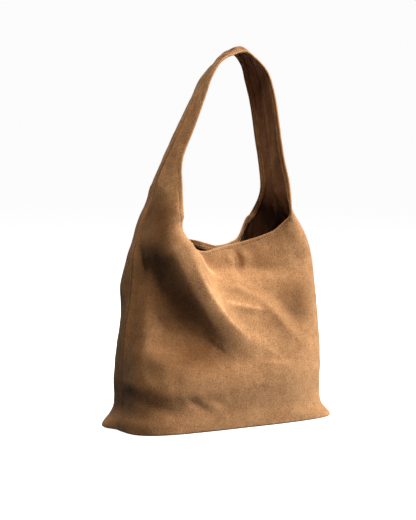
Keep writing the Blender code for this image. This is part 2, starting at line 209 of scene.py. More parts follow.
# Puckers along the seams, and along the rim.
PUCKER_HEIGHT = 0.0004
SEAM_PUCKER_SIZE, SEAM_PUCKER_WIDTH = 0.0065, 0.008
RIM_PUCKER_SIZE, RIM_PUCKER_AT, RIM_PUCKER_WIDTH = 0.007, 0.006, 0.005
CLEAR_OF_SNAP = (0.010, 0.024)
# The rolled edge and the rim are lighter: painted highlight, also standing for rubbed nap.
EDGE_RUB_AND_HIGHLIGHT = 0.22
RIM_RUB_AND_HIGHLIGHT, RIM_RUB_AND_HIGHLIGHT_WIDTH = 0.20, 0.0018
FOOT_WEAR, FOOT_WEAR_HEIGHT = 0.12, 0.004
# The sharp crests get a painted highlight, which also stands for rubbed nap.
CREST_RUB_AND_HIGHLIGHT = 0.75


# ===== curves and smooth steps
def smooth(low, high, at):
    t = np.clip((np.asarray(at, float) - low) / (high - low), 0, 1)
    return t * t * (3 - 2 * t)


def bell(at, middle, width):
    return np.exp(-((at - middle) / width) ** 2)


def keyed(keys, at):
    """A smooth curve through (place, value) keys, level beyond its ends."""
    x = np.array([key[0] for key in keys], float)
    y = np.array([key[1] for key in keys], float)
    slope = np.diff(y) / np.diff(x)
    tangent = np.zeros_like(y)
    steady = slope[:-1] * slope[1:] > 0
    harmonic = 2 * slope[:-1] * slope[1:] / np.where(steady, slope[:-1] + slope[1:], 1)
    tangent[1:-1] = np.where(steady, harmonic, 0)
    at = np.clip(np.asarray(at, float), x[0], x[-1])
    i = np.clip(np.searchsorted(x, at, side="right") - 1, 0, len(x) - 2)
    width = x[i + 1] - x[i]
    t = (at - x[i]) / width
    return ((2 * t ** 3 - 3 * t ** 2 + 1) * y[i] + (t ** 3 - 2 * t ** 2 + t) * width * tangent[i]
            + (3 * t ** 2 - 2 * t ** 3) * y[i + 1] + (t ** 3 - t ** 2) * width * tangent[i + 1])


def spline(points, steps):
    """A smooth curve through the points, with that many steps between each two."""
    points = [np.array(point, float) for point in points]
    ends = [2 * points[0] - points[1], *points, 2 * points[-1] - points[-2]]
    curve = []
    for a, b, c, d in zip(ends, ends[1:], ends[2:], ends[3:]):
        for t in np.arange(steps) / steps:
            curve.append(0.5 * (2 * b + (c - a) * t + (2 * a - 5 * b + 4 * c - d) * t ** 2
                                + (3 * b - a - 3 * c + d) * t ** 3))
    curve.append(points[-1])
    return np.array(curve)


def lengths(points):
    return np.concatenate([[0], np.cumsum(np.linalg.norm(np.diff(points, axis=0), axis=1))])


def unit(vectors):
    return vectors / np.maximum(np.linalg.norm(vectors, axis=-1, keepdims=True), 1e-12)


def from_ends(grid):
    """Distances along each line from the free edge, and from its outer end."""
    to_rim = np.array([lengths(line) for line in grid])
    return to_rim, to_rim[:, -1:] - to_rim


def ends_at_side(grid, margin=0.001):
    """Which lines end at a side seam, not at the foot."""
    return (grid[:, -1, 2] > FOOT_HEIGHT + margin)[:, None]


class Seam:
    """A side seam from the base corner to the crown, where it runs smoothly on to a point beyond."""

    STEPS = 48

    def __init__(self, points, beyond):
        whole = spline(points + [beyond], self.STEPS)
        slope = np.gradient(whole, axis=0)
        last = (len(points) - 1) * self.STEPS
        self.curve = whole[:last + 1]
        self.along = lengths(self.curve)
        self.slope = unit(slope[:last + 1])
        self.length = self.along[-1]

    def at(self, along):
        """x and z at a length along the seam, and its direction there."""
        return [np.interp(along, self.along, values) for values in (*self.curve.T, *self.slope.T)]

    def along_at(self, height):
        return np.interp(height, self.curve[:, 1], self.along)

    def x_at(self, height):
        return np.interp(height, self.curve[:, 1], self.curve[:, 0])


SEAM = {-1: Seam(LEFT_SEAM, RIGHT_SEAM[-2]), 1: Seam(RIGHT_SEAM, LEFT_SEAM[-2])}


# ===== the bag's surface
def level_section(side, height, share):
    """Distance from the side seam, x and y at a share of the way to the middle."""
    angle = np.linspace(0, math.pi / 2, 100)
    power = (2 / keyed(SQUARENESS, height))[:, None]
    a = np.abs(SEAM[side].x_at(height))[:, None]
    b = keyed(DEPTH, height)[:, None]
    cosine = np.clip(np.cos(angle), 0, 1)
    cosine[-1] = 0
    xs = a * cosine ** power
    ys = b * np.sin(angle) ** power
    steps = np.hypot(np.diff(xs, axis=1), np.diff(ys, axis=1))
    along = np.concatenate([np.zeros((len(height), 1)), np.cumsum(steps, axis=1)], axis=1)
    distance = share * along[:, -1]
    i = np.clip((along <= distance[:, None]).sum(axis=1) - 1, 0, len(angle) - 2)
    row = np.arange(len(height))
    t = (distance - along[row, i]) / (along[row, i + 1] - along[row, i])
    x = xs[row, i] + t * (xs[row, i + 1] - xs[row, i])
    y = ys[row, i] + t * (ys[row, i + 1] - ys[row, i])
    return distance, x, y


def section_length(side, height):
    ones = np.ones(1)
    return float(level_section(side, ones * height, ones)[0][0])


def pinch(face, x, height):
    """How far a wall is drawn in towards the snap, as a share of its depth."""
    shift = PINCH_SLANT * np.maximum(0, RIM_LOW_HEIGHT - height)
    start, complete = PINCH_LEFT[face]
    from_left = smooth(start, complete, x - shift)
    start, complete = PINCH_RIGHT[face]
    from_right = 1 - (smooth(start, complete, x) + np.clip((x - start) / (complete - start), 0, 1)) / 2
    return keyed(PINCH, height) * from_left * from_right


def strap_points(face, side, along, distance):
    """Points at a distance from the strap's middle seam, which leans and cups."""
    x, z, dx, dz = SEAM[side].at(along)
    outward = np.stack([side * dz, 0 * dz, -side * dx], axis=-1)
    lean = np.radians(keyed(LEAN[side], z))[..., None]
    bend = 2 * keyed(CUP[face, side], z) / STRAP_HALF_WIDTH ** 2
    bend = np.where(np.abs(bend) < 0.1, 0.1, bend)
    sideways = np.sin(bend * distance) / bend
    inwards = (1 - np.cos(bend * distance)) / bend
    across = np.array([0, face, 0]) * np.cos(lean) - face * np.sin(lean) * outward
    slide = face * keyed(SKEW, z) * distance / STRAP_HALF_WIDTH
    middle = np.stack([x + slide, 0 * x, z], axis=-1)
    return middle + sideways[..., None] * across - inwards[..., None] * outward


def wall_points(face, side, height, share):
    """Points of the outer surface: share runs from 0 at the side seam to 1 at the middle."""
    distance, x, y = level_section(side, height, share)
    x = side * x
    low = np.stack([x, face * y * (1 - pinch(face, x, height)), height], axis=-1)
    high = strap_points(face, side, SEAM[side].along_at(height), distance)
    beyond_reach = smooth(0, HORN_REACH_WIDTH, distance - keyed(HORN_REACH, height))
    weight = (smooth(*HORN_BLEND, height) * (1 - beyond_reach))[..., None]
    points = low * (1 - weight) + high * weight
    return dressed(points, face, side, height, distance, y)


def dressed(points, face, side, height, distance, y):
    """The points with the left horn's shift and curl, the flared ears, the bulges and the foot."""
    if side < 0:
        near = 1 - smooth(0, SEAM_SHIFT_REACH, distance)
        points[..., 0] += keyed(SEAM_SHIFT_X, height) * near
        points[..., 1] += keyed(SEAM_SHIFT_Y, height) * near
    if face < 0 and side < 0:
        beyond = distance - keyed(CREST, height)
        beyond = (beyond + np.sqrt(beyond ** 2 + CURL_SOFTNESS ** 2)) / 2
        angle = CURL * (1 - smooth(*CURL_TOP, height)) * smooth(*CURL_FOOT, height)
        points[..., 1] += beyond * np.sin(angle)
        points[..., 0] -= beyond * (1 - np.cos(angle))
    for bulge_face, bulge_side, place, tall, middle, wide, push in BULGES:
        if (face, side) == (bulge_face, bulge_side):
            amount = push * smooth(0, BULGE_START, distance)
            amount = amount * bell(height, place, tall) * bell(distance, middle, wide)
            points[..., 0] += side * amount * BULGE_DIRECTION[0]
            points[..., 1] += face * amount * BULGE_DIRECTION[1]
    rise, back = GAPE[face]
    gape = bell(points[..., 0], *GAPE_X) * smooth(*GAPE_HEIGHTS[:2], height)
    gape = gape * (1 - smooth(*GAPE_HEIGHTS[2:], height))
    points[..., 2] += rise * gape
    points[..., 1] += back * gape
    ear = EAR[side] * (1 - smooth(*EAR_HEIGHTS, height)) * smooth(*EAR_REACH, np.abs(points[..., 0]))
    if side < 0:
        ear = ear * smooth(0, 0.03, face * y)
    points[..., 0] += side * ear
    under = np.clip(FOOT_RADIUS - height, 0, FOOT_RADIUS)
    inset = FOOT_RADIUS - np.sqrt(FOOT_RADIUS ** 2 - under ** 2)
    points[..., :2] -= unit(points[..., :2] / BASE_HALF_SIZE ** 2) * inset[..., None]
    return points


def row_places(length):
    """Places from 0 to 1 along a line of that length: close together at both ends."""
    squeeze = min(1.0, length / (3 * (NEAR_RIM[-1] + NEAR_SEAM[-1])))
    first = np.array(NEAR_RIM) * squeeze / length
    last = 1 - np.array(NEAR_SEAM)[::-1] * squeeze / length
    count = ROWS - len(first) - len(last)
    middle = np.linspace(first[-1], last[0], count + 2)[1:-1]
    return np.concatenate([first, middle, last])


def rim_of(face, side):
    points = [(height, distance / section_length(side, height)) for height, distance in RIMS[face, side]]
    return spline(points + [(RIM_LOW_HEIGHT, 1.0)], 24)


def body_lines(face, side):
    """Ends (height, share) of the lines of half a wall below the cut, from the horn to the middle."""
    rim = rim_of(face, side)
    along = lengths(rim)
    cut = float(np.interp(-CUT_HEIGHT, -rim[:, 0], along))
    turn = float(np.interp(-FAN_HEIGHT, -rim[:, 0], along))
    horn = round((CUT_HEIGHT - FAN_HEIGHT) / LINE_STEP)
    side_count = round(FAN_HEIGHT / LINE_STEP)
    base_count = round(BASE_REACH / LINE_STEP)
    places = np.concatenate([np.linspace(cut, turn, horn + 1),
                             np.linspace(turn, along[-1], side_count + base_count + 1)[1:]])
    starts = np.stack([np.interp(places, along, rim[:, k]) for k in (0, 1)], axis=1)
    seam_heights = np.concatenate([starts[:horn + 1, 0],
                                   np.linspace(FAN_HEIGHT, FOOT_HEIGHT, side_count + 1)[1:]])
    ends = np.concatenate([
        np.stack([seam_heights, 0 * seam_heights], axis=1),
        np.stack([np.full(base_count, FOOT_HEIGHT), np.linspace(0, 1, base_count + 1)[1:]], axis=1),
    ])
    return starts, ends


def body_half(face, side):
    """The points of half a wall: lines from the horn to the middle, rows from the rim outwards."""
    starts, ends = body_lines(face, side)
    lines = []
    for start, end in zip(starts, ends):
        rough = start + (end - start) * np.linspace(0, 1, 24)[:, None]
        length = lengths(wall_points(face, side, rough[:, 0], rough[:, 1]))[-1]
        lines.append(start + (end - start) * row_places(length)[:, None])
    lines = np.array(lines)
    flat = lines.reshape(-1, 2)
    return wall_points(face, side, flat[:, 0], flat[:, 1]).reshape(*lines.shape[:2], 3)


def strap_half(face, side):
    """The points of one limb: lines from the crown down to the cut, rows from the edge to the seam."""
    seam = SEAM[side]
    start = float(seam.along_at(CUT_HEIGHT))
    count = round((seam.length - start) / LINE_STEP)
    lines = []
    for along in np.linspace(seam.length, start, count + 1):
        height = seam.at(along)[1]
        width = float(rim_width(face, side, height))
        distance = (1 - row_places(width)) * width
        points = strap_points(face, side, np.full(ROWS, along), distance)
        lines.append(dressed(points, face, side, np.full(ROWS, height), distance, distance))
    return np.array(lines)


def rim_width(face, side, height):
    """The distance from the seam to the free edge at a height of the horn or strap."""
    if height > RIM[0][0]:
        return STRAP_HALF_WIDTH
    rim = rim_of(face, side)
    return np.interp(-height, -rim[:, 0], rim[:, 1]) * section_length(side, height)


def loop_of(face):
    """All lines of one face, round the mouth: the left limb, the wall and the right limb."""
    left_limb = strap_half(face, -1)
    right_limb = strap_half(face, 1)[::-1]
    left, right = body_half(face, -1), body_half(face, 1)[::-1]
    parts = [left_limb[:-1], left, right[1:], right_limb[1:-1]]
    marks = np.cumsum([len(part) for part in parts])
    return np.concatenate(parts), marks


def eased(grid):
    """The grid with kinks between neighbouring lines smoothed out, away from the seams and the foot."""
    _, to_seam = from_ends(grid)
    amount = np.where(ends_at_side(grid), smooth(0, EASE_FROM_SEAM, to_seam), 1)
    amount = amount * smooth(*EASE_HEIGHTS, grid[..., 2])
    for _ in range(EASE_ROUNDS):
        average = (np.roll(grid, 1, axis=0) + 2 * grid + np.roll(grid, -1, axis=0)) / 4
        grid = grid + (average - grid) * amount[..., None]
    return grid


def normals_of(grid, face):
    """Outward directions of a closed loop of lines, the same on both faces along the side seams."""
    around = np.roll(grid, -1, axis=0) - np.roll(grid, 1, axis=0)
    across = np.gradient(grid, axis=1)
    normal = unit(np.cross(around, across) * face)
    seam = grid[:, -1]
    along = np.roll(seam, -1, axis=0) - np.roll(seam, 1, axis=0)
    outward = unit(np.stack([-along[:, 2], 0 * along[:, 0], along[:, 0]], axis=1) * face)
    _, to_seam = from_ends(grid)
    near = (ends_at_side(grid, 0.004) * (1 - smooth(0, 0.006, to_seam)))[..., None]
    sign = np.sign((outward[:, None] * normal).sum(axis=2, keepdims=True).mean(axis=1, keepdims=True))
    return unit(normal * (1 - near) + outward[:, None] * sign * near)


# ===== folds
def noise_at(points, scale, seed, stretch=(1, 1, 1)):
    """Smooth noise from about -1 to 1 at each point; scale is the size of its lumps in metres."""
    offset = Vector((seed * 7.31, seed * 3.77, seed * 5.13))
    shape = points.shape[:-1]
    scaled = points.reshape(-1, 3) / (np.array(stretch) * scale)
    values = [noise.noise(Vector(point) + offset) for point in scaled]
    return np.array(values).reshape(shape)


def across_path(x, z, path):
    """Signed distance from a path of (x, z) points, above it positive, and the share of its length."""
    path = np.array(path, float)
    along = lengths(path)
    best = np.full(x.shape, 1e9)
    side = np.zeros(x.shape)
    share = np.zeros(x.shape)
    for k, (a, b) in enumerate(zip(path, path[1:])):
        d = b - a
        span = np.hypot(*d)
        t = ((x - a[0]) * d[0] + (z - a[1]) * d[1]) / span ** 2
        low = -0.6 if k == 0 else 0
        high = 1.6 if k == len(path) - 2 else 1
        t = np.clip(t, low, high)
        px, pz = a[0] + t * d[0] - x, a[1] + t * d[1] - z
        distance = np.hypot(px, pz)
        nearer = distance < best
        cross = d[0] * (z - a[1]) - d[1] * (x - a[0])
        side = np.where(nearer, np.sign(cross), side)
        share = np.where(nearer, (along[k] + t * span) / along[-1], share)
        best = np.minimum(best, distance)
    return side * best, share


# Ridges with a crest sharper than this (in millimetres) get a painted highlight along the crest, also
# standing for rubbed nap, over this half width.
SHARP = 2
CREST_HIGHLIGHT_WIDTH = 0.0025


def fold(x, z, path, height, above, below, soft, fade):
    """A ridge (or a valley, if height is negative) along a path of (x, z) points, and the painted
    highlight, also standing for rubbed nap, along its crest.

    above and below are its widths on its two sides, soft rounds its crest, and fade is the
    share of its length over which it rises and dies away. All but fade are in millimetres.
    """
    path = spline(np.array(path) * MM, 8)
    distance, share = across_path(x, z, path)
    width = np.where(distance > 0, above, below) * MM
    rounded = np.sqrt(distance ** 2 + (soft * MM) ** 2) - soft * MM
    envelope = smooth(-fade[0], fade[0], share) * (1 - smooth(1 - fade[1], 1 + fade[1], share))
    is_sharp_ridge = height > 0 and soft < SHARP
    rubbed_crest_highlight = envelope * bell(distance, 0, CREST_HIGHLIGHT_WIDTH) if is_sharp_ridge else 0
    return height * MM * np.exp(-(rounded / width) ** 1.3) * envelope, rubbed_crest_highlight


# Folds of the front, as fold() takes them: path, height, width above and below, softness, fade.
FRONT_FOLDS = [
    # the roll of the left horn, which runs down into a sharp diagonal ridge
    ([(-100, 353), (-90, 300), (-76, 262), (-56, 219), (-29, 180), (-8, 157), (14, 139), (38, 126)],
     6, 14, 30, 2.5, (0.15, 0.3)),
    ([(-70, 248), (-56, 219), (-29, 180), (-8, 157), (14, 139)], 1, 4, 5, 0.8, (0.2, 0.3)),
    # the long valley beside it, from the left side seam down to the middle
    ([(-176, 270), (-148, 236), (-118, 202), (-88, 173), (-62, 151)], -12, 20, 30, 7, (0.25, 0.25)),
    # the roll of cloth above that valley, and the hollow up along the horn's seam side
    ([(-150, 300), (-122, 272), (-98, 250)], 6, 26, 20, 8, (0.2, 0.4)),
    ([(-112, 385), (-121, 350), (-130, 310), (-130, 270), (-112, 228)], -5, 18, 20, 8, (0.3, 0.3)),
    # a short crease from the rim, above the ridge
    ([(-66, 268), (-46, 246), (-28, 234), (-12, 227)], 7, 10, 7, 1, (0.15, 0.3)),
    # the soft bands right of the ridge
    ([(-1, 218), (42, 200), (64, 181), (94, 142)], 7, 20, 12, 3, (0.3, 0.3)),
    ([(-13, 193), (13, 186), (48, 180)], 4.5, 10, 8, 1.2, (0.3, 0.4)),
    # the hollows of the right shoulder
    ([(142, 264), (87, 234), (43, 214), (15, 216)], -5, 20, 20, 8, (0.2, 0.3)),
    ([(135, 146), (104, 166), (78, 190), (50, 205)], -6, 20, 14, 6, (0.3, 0.3)),
    # the dimple at the snap, between two swellings
    ([(18, 270), (31, 257), (29, 236)], -3, 4, 5, 0.8, (0.25, 0.35)),
    ([(10, 262), (21, 252), (19, 232)], 1.4, 7, 7, 2, (0.3, 0.4)),
    ([(36, 270), (43, 256), (40, 232)], 2.4, 7, 10, 2, (0.3, 0.4)),
    # the broad hollow across the middle and the hollow beside the left side seam
    ([(-148, 146), (-89, 121), (-45, 112), (20, 104)], -13, 40, 20, 8, (0.2, 0.4)),
    ([(-152, 150), (-150, 80)], -5, 16, 16, 5, (0.3, 0.3)),
    # the low belly and the small dents above the base
    ([(-110, 78), (-30, 88), (60, 82), (125, 75)], 6, 35, 35, 10, (0.2, 0.2)),
    ([(-172, 60), (-155, 47), (-130, 36), (-100, 30)], -1.8, 10, 9, 3, (0.2, 0.3)),
    ([(-172, 73), (-140, 66), (-105, 56), (-75, 52)], 1.5, 12, 9, 3, (0.2, 0.3)),
    ([(-93, 52), (-78, 41), (-62, 32)], -2.5, 7, 7, 2, (0.3, 0.3)),
    ([(-56, 50), (-36, 39)], -1.5, 6, 6, 1.5, (0.3, 0.3)),
]


def folds_at(face, points):
    """How far the folds push the surface out, and the painted highlight, also standing for rubbed nap,
    along the crests of the sharp ones.
    """
    x, z = points[..., 0], points[..., 2]
    push, rubbed_crest_highlight = np.zeros(x.shape), np.zeros(x.shape)
    for entry in FRONT_FOLDS if face < 0 else BACK_FOLDS:
        one_push, one_rubbed_crest_highlight = fold(x, z, *entry)
        push, rubbed_crest_highlight = push + one_push, rubbed_crest_highlight + one_rubbed_crest_highlight
    if face < 0:
        push = push + flank(x, z)
    return push, rubbed_crest_highlight


# Patches of painted shade (below 0) and painted light (above 0), set where the folds and the crown are
# shaded or lit: centre (x, z), half width and half height in millimetres, and change of tone.
PAINTED_LIGHT_PATCHES = {
    -1: [(-115, 115, 60, 60, -0.3), (-85, 205, 40, 35, -0.2), (-150, 30, 50, 30, -0.15),
         (-120, 335, 19, 55, -0.68), (-145, 235, 30, 55, -0.22), (-96, 380, 14, 30, 0.85),
         (-86, 335, 14, 30, 0.25), (-43, 202, 18, 26, 0.55), (-62, 122, 45, 30, -0.5),
         (85, 260, 40, 24, 0.72), (118, 190, 28, 32, -0.52), (150, 120, 30, 80, 0.1),
         (30, 130, 34, 26, 0.38), (-60, 470, 35, 80, 0.28), (30, 588, 30, 20, -0.5)],
    1: [(90, 100, 60, 55, -0.15), (-80, 180, 50, 45, 0.1), (30, 588, 30, 20, -0.5)],
}

# Left of the diagonal ridge the wall falls away like the flank of a cylinder.
FLANK_CREST = metres((-102, 360), (-90, 300), (-76, 262), (-56, 219), (-29, 180), (-8, 157), (14, 139),
                     (38, 126))
FLANK_DEPTH = 0.020
FLANK_START = 0.020
FLANK_WIDTH = 0.030
FLANK_HEIGHTS = (0.105, 0.175, 0.225, 0.345)
FLANK_SIDE = (-0.174, -0.124)


def flank(x, z):
    distance, share = across_path(x, z, spline(FLANK_CREST, 8))
    away = np.maximum(0, -distance - FLANK_START) / FLANK_WIDTH
    low, full, high, top = FLANK_HEIGHTS
    depth = smooth(low, full, z) * (1 - smooth(high, top, z)) * smooth(*FLANK_SIDE, x)
    depth = depth * (1 - smooth(0.85, 1.05, share))
    return -FLANK_DEPTH * depth * (1 - np.exp(-away ** 2))


# Folds of the back, which the photo doesn't show: the walls hang from the horns and gather at the snap.
BACK_FOLDS = [
    ([(-98, 345), (-88, 290), (-66, 235), (-30, 190), (4, 165)], 8, 16, 30, 4, (0.2, 0.3)),
    ([(-118, 330), (-124, 280), (-112, 225), (-80, 180), (-50, 160)], -7, 20, 22, 7, (0.3, 0.3)),
    ([(100, 350), (94, 300), (78, 250), (50, 205), (20, 178)], 6, 28, 15, 4, (0.2, 0.3)),
    ([(120, 340), (126, 290), (112, 235), (80, 190)], -6, 20, 20, 6, (0.3, 0.3)),
    ([(42, 268), (46, 236), (40, 200)], -3, 10, 10, 2, (0.2, 0.4)),
    ([(-130, 150), (-60, 128), (30, 132), (100, 150)], -5, 20, 26, 8, (0.2, 0.2)),
    ([(-110, 80), (-20, 90), (100, 78)], 6, 32, 32, 10, (0.2, 0.2)),
    ([(165, 58), (140, 45), (105, 36)], -5, 8, 8, 2, (0.2, 0.3)),
    ([(-150, 50), (-115, 38), (-80, 35)], -4, 8, 8, 2, (0.2, 0.3)),
    ([(60, 50), (30, 36)], -3, 7, 7, 1.5, (0.3, 0.3)),
]


# ===== skins
class Skin:
    """The outer surface of one face: a closed loop of lines round the mouth."""

    def __init__(self, face):
        self.face = face
        rough, self.marks = loop_of(face)
        self.base = eased(rough)
        self.shape()
        self.normals = normals_of(self.points, face)
        self.from_rim, _ = from_ends(self.points)

    def shape(self):
        """Pushes the smooth surface along its normals: seam, stitch line, folds and wrinkles."""
        base = self.base
        x, height = base[..., 0], base[..., 2]
        to_rim, to_seam = from_ends(base)
        at_side = ends_at_side(base)
        groove = at_side * bell(to_seam, 0, GROOVE_WIDTH)
        swell = at_side * bell(to_seam, SWELL_AT, SWELL_WIDTH)
        stitched = bell(to_rim, STITCH_INSET, DENT_WIDTH)
        folds, rubbed_crest_highlight = folds_at(self.face, base)
        folds = folds * smooth(0, 0.012, to_seam)
        from_snap = np.hypot(x - SNAP_X, height - SNAP_HEIGHT)
        folds = np.where(folds < 0, folds * smooth(*CLEAR_OF_SNAP, from_snap), folds)
        on_strap = smooth(*STREAK_START, height)
        lumps = noise_at(base, LUMP_SIZE, 3) * (1 - on_strap)
        inside_edge = smooth(0, 0.010, to_rim)
        wrinkles = noise_at(base, WRINKLE_SIZE, 7) * inside_edge
        streaks = noise_at(base, STREAK_SIZE, 11, (1, 1, 7))
        near_seam = at_side * bell(to_seam, 0, SEAM_PUCKER_WIDTH)
        near_rim = bell(to_rim, RIM_PUCKER_AT, RIM_PUCKER_WIDTH)
        puckers = noise_at(base, SEAM_PUCKER_SIZE, 17) * near_seam
        puckers = puckers + noise_at(base, RIM_PUCKER_SIZE, 23) * near_rim
        off_seam = np.where(at_side, smooth(0, 0.008, to_seam), 1)
        push = off_seam * (LUMP_HEIGHT * lumps + WRINKLE_HEIGHT * wrinkles + PUCKER_HEIGHT * puckers)
        push = push + on_strap * STREAK_HEIGHT * streaks * inside_edge * smooth(0, 0.006, to_seam)
        push = push + folds - GROOVE_DEPTH * groove + SWELL_HEIGHT * swell - DENT_DEPTH * stitched
        self.points = base + normals_of(base, self.face) * push[..., None]
        # Patches of painted shade and painted light, set where the folds are shaded or lit.
        brushed_nap_and_painted_light = np.zeros(height.shape)
        for middle, level, wide, tall, amount in PAINTED_LIGHT_PATCHES[self.face]:
            brushed_nap_and_painted_light += amount * bell(x, middle * MM, wide * MM) * bell(height, level * MM, tall * MM)
        # Fold valleys get painted shade and fold ridges painted light, up to 0.10 either way.
        wear_and_painted_light = brushed_nap_and_painted_light + (STREAK_WEAR * streaks + 0.02) * on_strap + np.clip(folds * 14, -0.10, 0.10)
        # Painted shade in the seam groove and the stitch dents, and a painted highlight on the swell
        # beside the seam.
        wear_and_painted_light = wear_and_painted_light + GROOVE_SHADE * groove + SWELL_HIGHLIGHT * swell + DENT_SHADE * stitched
        # Painted highlights, which also stand for rubbed nap, along the rim and along the sharp crests.
        wear_and_painted_light = wear_and_painted_light + RIM_RUB_AND_HIGHLIGHT * bell(to_rim, 0, RIM_RUB_AND_HIGHLIGHT_WIDTH) + CREST_RUB_AND_HIGHLIGHT * rubbed_crest_highlight
        self.wear_and_painted_light = wear_and_painted_light + FOOT_WEAR * bell(height, FOOT_WEAR_HEIGHT, FOOT_WEAR_HEIGHT)


def line_at(skin, lines, distances):
    """Points and normals at distances from the free edge, for each of the lines."""
    found = []
    for values in (skin.points, skin.normals):
        rows = []
        for i in lines:
            along = skin.from_rim[i]
            wanted = np.minimum(distances, along[-1])
            rows.append(np.stack([np.interp(wanted, along, values[i, :, k]) for k in range(3)], axis=1))
        found.append(np.array(rows))
    return found


def hem_profile(skin, lines):
    """The leather's closed profile on each line (outside, rolled edge, hem, inside) and its wear and
    painted light and shade.
    """
    points, normals = skin.points[lines], skin.normals[lines]
    rim, rim_normal = points[:, 0], normals[:, 0]
    tip = unit(rim - points[:, 1])
    near, far = HEM_DEPTHS
    radius = far / 2
    centre = rim - rim_normal * radius
    angles = np.linspace(0, math.pi, 7)[1:-1]
    roll = np.stack([centre + radius * (math.cos(angle) * rim_normal + 0.8 * math.sin(angle) * tip)
                     for angle in angles], axis=1)
    hem_at = [0, 0.001, 0.0025, 0.0042, 0.005, 0.0058, 0.0085, HEM_WIDTH - 0.0004]
    p, n = line_at(skin, lines, np.array(hem_at))
    dent = np.array([0, 0, 0, 0, -0.0003, 0, 0, 0])[:, None]
    hem = p - n * (far + dent)
    p, n = line_at(skin, lines, np.array([HEM_WIDTH, HEM_WIDTH, 0.006, 0.002]))
    under = p - n * np.array([far - 0.0004, near, near, near])[:, None]
    inside = points[:, 4::3] - normals[:, 4::3] * LEATHER
    last = points[:, -1:] - normals[:, -1:] * LEATHER
    profile = np.concatenate([points[:, ::-1], roll, hem, under, inside, last], axis=1)
    wear_and_painted_light = np.zeros(profile.shape[:2])
    count = points.shape[1]
    wear_and_painted_light[:, :count] = skin.wear_and_painted_light[lines][:, ::-1]
    # The rolled edge is lighter: painted highlight, also standing for rubbed nap.
    wear_and_painted_light[:, count:count + len(angles)] = EDGE_RUB_AND_HIGHLIGHT
    return profile, wear_and_painted_light


def sheet_profile(skin, lines, distances, depths):
    """A thin closed sheet at those depths under the surface, and its nap streaks and painted shade.

    It gets painted shade beside the seams and along the hem, and deep inside the horns where shade falls.
    """
    p, n = line_at(skin, lines, distances)
    near, far = p - n * depths[0], p - n * depths[1]
    left = np.maximum(0, skin.from_rim[lines][:, -1:] - distances)
    wear_and_painted_light = 0.55 * noise_at(p, 0.008, 41, (1, 1, 8)) - 0.6 * bell(left, 0, 0.0016)
    # Painted shade deep inside the horns, below their tops.
    wear_and_painted_light = wear_and_painted_light - 0.95 * (1 - smooth(0.335, 0.375, p[..., 2])) * smooth(0.008, 0.032, left)
    wear_and_painted_light = wear_and_painted_light - 0.3 * bell(distances, HEM_WIDTH + 0.001, 0.0016)
    return np.concatenate([near[:, ::-1], far], axis=1), np.concatenate([wear_and_painted_light[:, ::-1], wear_and_painted_light], axis=1)


def walls(rows, count):
    """Quads between neighbouring rings of count points each."""
    return [(row * count + k, row * count + (k + 1) % count, (row + 1) * count + (k + 1) % count,
             (row + 1) * count + k) for row in range(rows - 1) for k in range(count)]


def closed(rows, count):
    """Quads between neighbouring rings, and a flat cap at each end."""
    last = (rows - 1) * count
    return walls(rows, count) + [tuple(range(count))[::-1], tuple(range(last, last + count))]


def loft(name, profiles, material, face, wear_and_painted_light=None, capped=True):
    """A mesh through closed profiles, one for each line; strips close a thin sheet's two ends."""
    lines, count = profiles.shape[:2]
    faces = walls(lines, count)
    sides = len(faces)
    if capped:
        last = (lines - 1) * count
        for k in range(count // 2 - 1):
            strip = (k, count - 1 - k, count - 2 - k, k + 1)
            faces.append(strip)
            faces.append(tuple(last + corner for corner in strip[::-1]))
    if face < 0:
        faces = [corners[::-1] for corners in faces]
    return add_mesh(name, profiles.reshape(-1, 3), faces, material, wear_and_painted_light, flat_from=sides)


def add_mesh(name, verts, faces, material, wear_and_painted_light=None, flat_from=None):
    """A smooth mesh, flat from one face on, that keeps rest positions and wear and painted light and
    shade for its material.
    """
    data = bpy.data.meshes.new(name)
    data.from_pydata([tuple(v) for v in verts], [], faces)
    data.update()
    data.shade_smooth()
    if flat_from is not None:
        for polygon in data.polygons[flat_from:]:
            polygon.use_smooth = False
    data.materials.append(material)
    rest = data.attributes.new("rest_position", "FLOAT_VECTOR", "POINT")
    rest.data.foreach_set("vector", np.asarray(verts, np.float32).ravel())
    wear_and_light_layer = data.attributes.new("wear_and_painted_light", "FLOAT", "POINT")
    if wear_and_painted_light is not None:
        wear_and_light_layer.data.foreach_set("value", np.asarray(wear_and_painted_light, np.float32).ravel())
    return new_object(name, data)


def new_object(name, data):
    item = bpy.data.objects.new(name, data)
    bpy.context.scene.collection.objects.link(item)
    return item


def stitches(name, points, normals):
    """A row of short threads along a line of points, each sunk half into the leather."""
    along = lengths(points)
    count = int(along[-1] / STITCH_PITCH)
    verts, faces = [], []
    angles = 2 * math.pi * np.arange(THREAD_SIDES) / THREAD_SIDES
    quads = closed(len(THREAD_RINGS), THREAD_SIDES)
    for number in range(count):
        middle = (number + 0.5) * along[-1] / count
        near = [middle - 0.001, middle, middle + 0.001]
        before, spot, after = np.stack([np.interp(near, along, points[:, k]) for k in range(3)], axis=1)
        up = np.array([np.interp(middle, along, normals[:, k]) for k in range(3)])
        forward = unit(after - before)
        side = unit(np.cross(up, forward))
        up = np.cross(forward, side)
        first = len(verts)
        for place, size in THREAD_RINGS:
            centre = spot + forward * place * STITCH_LENGTH / 2 + up * STITCH_RADIUS * (size - 0.75)
            radius = STITCH_RADIUS * size
            verts += [centre + radius * (math.cos(a) * side + math.sin(a) * up) for a in angles]
        faces += [tuple(first + corner for corner in quad) for quad in quads]
    return add_mesh(name, verts, faces, THREAD)


LATHE_STEPS = 48


